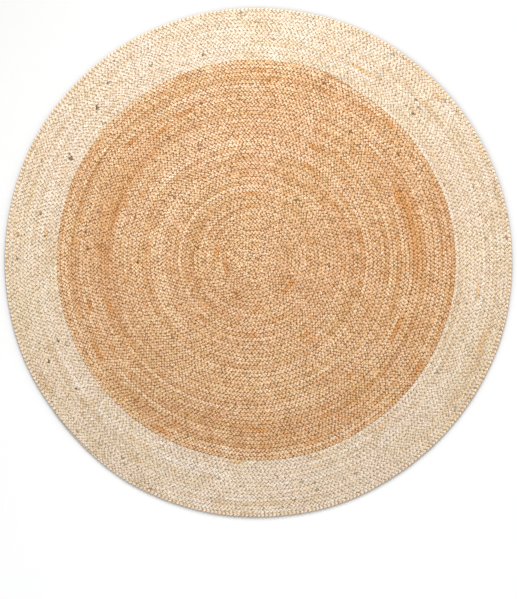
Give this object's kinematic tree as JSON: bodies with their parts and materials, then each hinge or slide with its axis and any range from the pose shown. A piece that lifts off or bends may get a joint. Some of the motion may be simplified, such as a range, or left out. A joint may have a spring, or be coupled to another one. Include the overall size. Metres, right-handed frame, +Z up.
{
  "type": "round jute rug",
  "caption": "Round flat rug of braided jute coiled edge to edge, with a tan field and a wide cream border.",
  "frame": {"origin": "middle of the rug's outline, on the underside that lies on the floor", "axes": "+Z up, through the thickness; the tan braid ends 60 degrees from +X towards +Y"},
  "size_m": [1.1964, 1.201, 0.008],
  "materials": {
    "tan_jute": "matt natural tan jute, three-strand flat braid",
    "cream_jute": "matt bleached cream jute, three-strand flat braid"
  },
  "bodies": {
    "root": {"centre_field": "tan_jute", "border_band": "cream_jute"}
  },
  "joints": []
}
